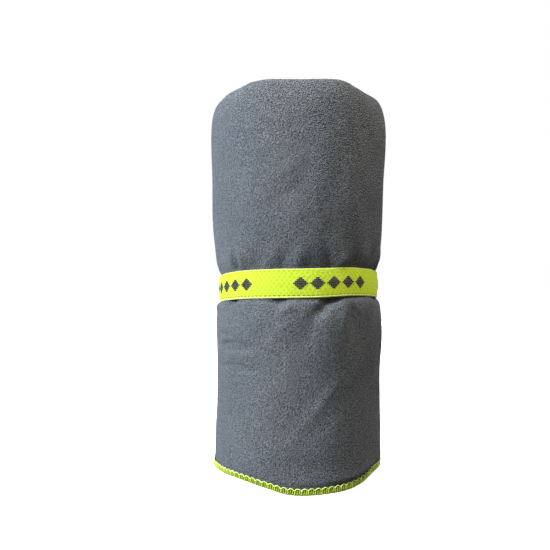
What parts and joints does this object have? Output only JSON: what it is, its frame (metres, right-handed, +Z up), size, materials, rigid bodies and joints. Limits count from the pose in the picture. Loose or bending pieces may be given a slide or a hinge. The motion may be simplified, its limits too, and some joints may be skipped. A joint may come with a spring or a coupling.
{
  "type": "quick dry towel",
  "caption": "Microfibre travel towel folded lengthwise and rolled into an upright cylinder, pinched at the waist by a bright elastic band.",
  "frame": {"origin": "centre of the rolled towel's base, on the surface it stands on", "axes": "+Z up along the roll's axis, -Y towards the front, free edge of the roll at the back"},
  "size_m": [0.1092, 0.1092, 0.221],
  "materials": {
    "cloth": "suede microfibre, matt with a soft nap",
    "edging_thread": "overlock thread, slight sheen",
    "band_weave": "woven elastic, fine herringbone",
    "rubber_core": "natural rubber thread",
    "motif_yarn": "matt contrast yarn",
    "tack_thread": "sewing thread, slight sheen"
  },
  "bodies": {
    "roll": {"towel_cloth": "cloth", "long_edging_outer": "edging_thread", "long_edging_inner": "edging_thread", "short_edging_free": "edging_thread", "short_edging_core": "edging_thread"},
    "band": {"elastic_band": "band_weave", "rubber_threads": "rubber_core", "woven_motif": "motif_yarn", "band_bartack": "tack_thread"}
  },
  "joints": [
    {"name": "band_slide", "type": "slide", "parent": "roll", "child": "band", "axis": [0, 0, 1], "range_m": [0, 0.127], "deforming": ["elastic_band", "rubber_threads", "woven_motif", "band_bartack"]}
  ]
}
